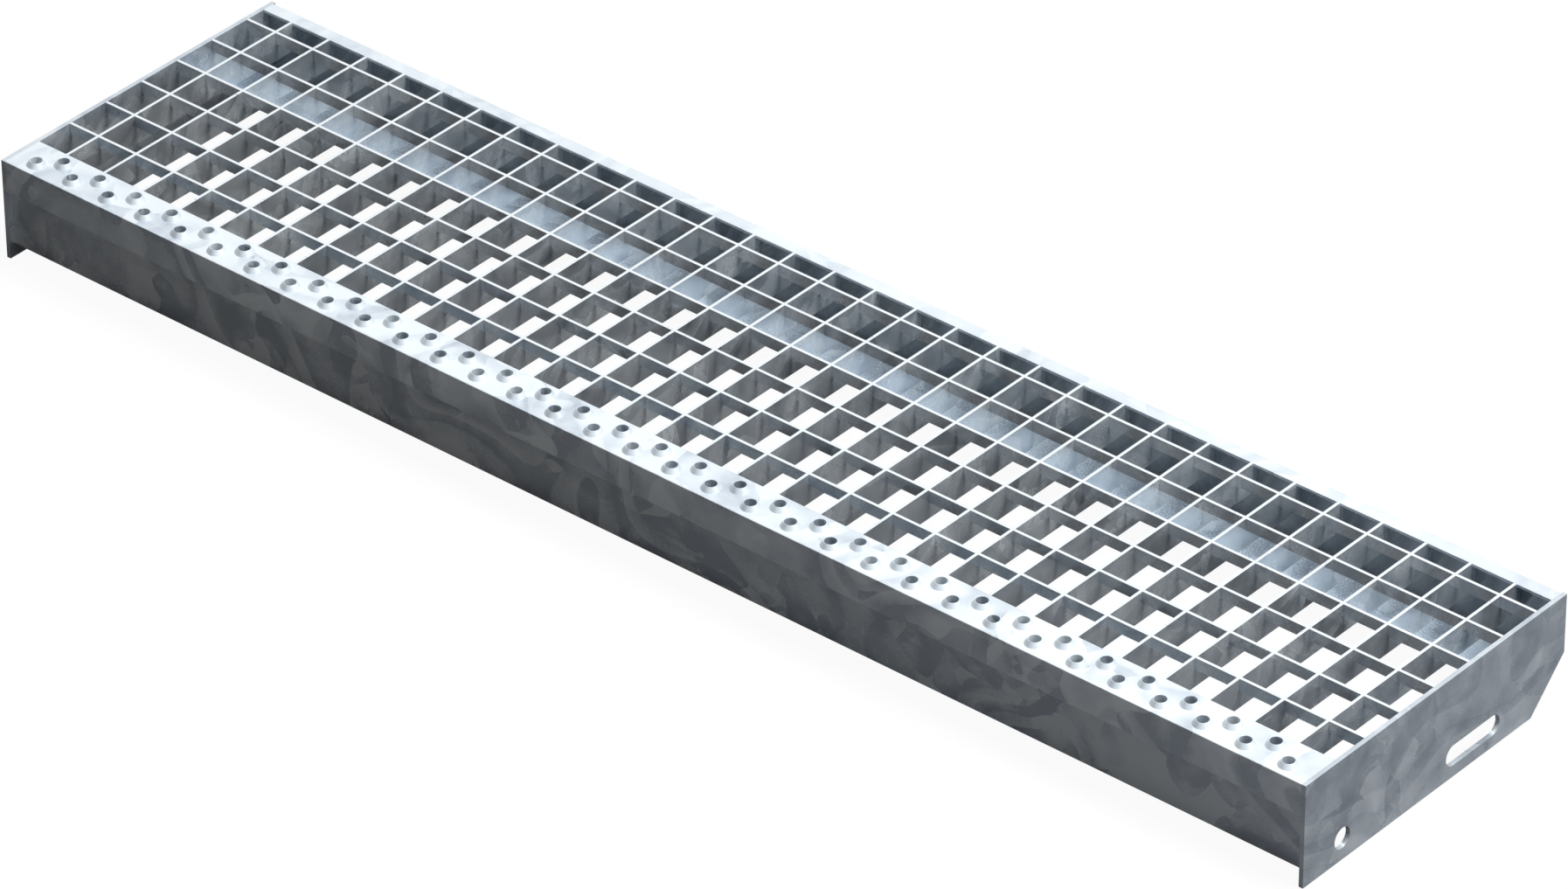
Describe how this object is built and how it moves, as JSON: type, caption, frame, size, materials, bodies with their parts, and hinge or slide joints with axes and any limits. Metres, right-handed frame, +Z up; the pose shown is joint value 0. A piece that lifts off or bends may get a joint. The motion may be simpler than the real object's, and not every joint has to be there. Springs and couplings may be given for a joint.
{
  "type": "grating stair tread",
  "caption": "Galvanised steel stair tread: open bar grating with a raised-hole nosing at the front edge and bolt-through end plates.",
  "frame": {"origin": "centre of the bounding box in X and Y, at the foot of the end plates", "axes": "+X along the tread, +Y from the nosing to the back, +Z up"},
  "size_m": [1, 0.24, 0.073],
  "materials": {
    "galvanised_steel": "hot-dip galvanised, dull spangle"
  },
  "bodies": {
    "root": {"side_plate_left": "galvanised_steel", "side_plate_right": "galvanised_steel", "nosing": "galvanised_steel", "front_rail": "galvanised_steel", "rear_channel": "galvanised_steel", "grating_panel": "galvanised_steel"}
  },
  "joints": []
}
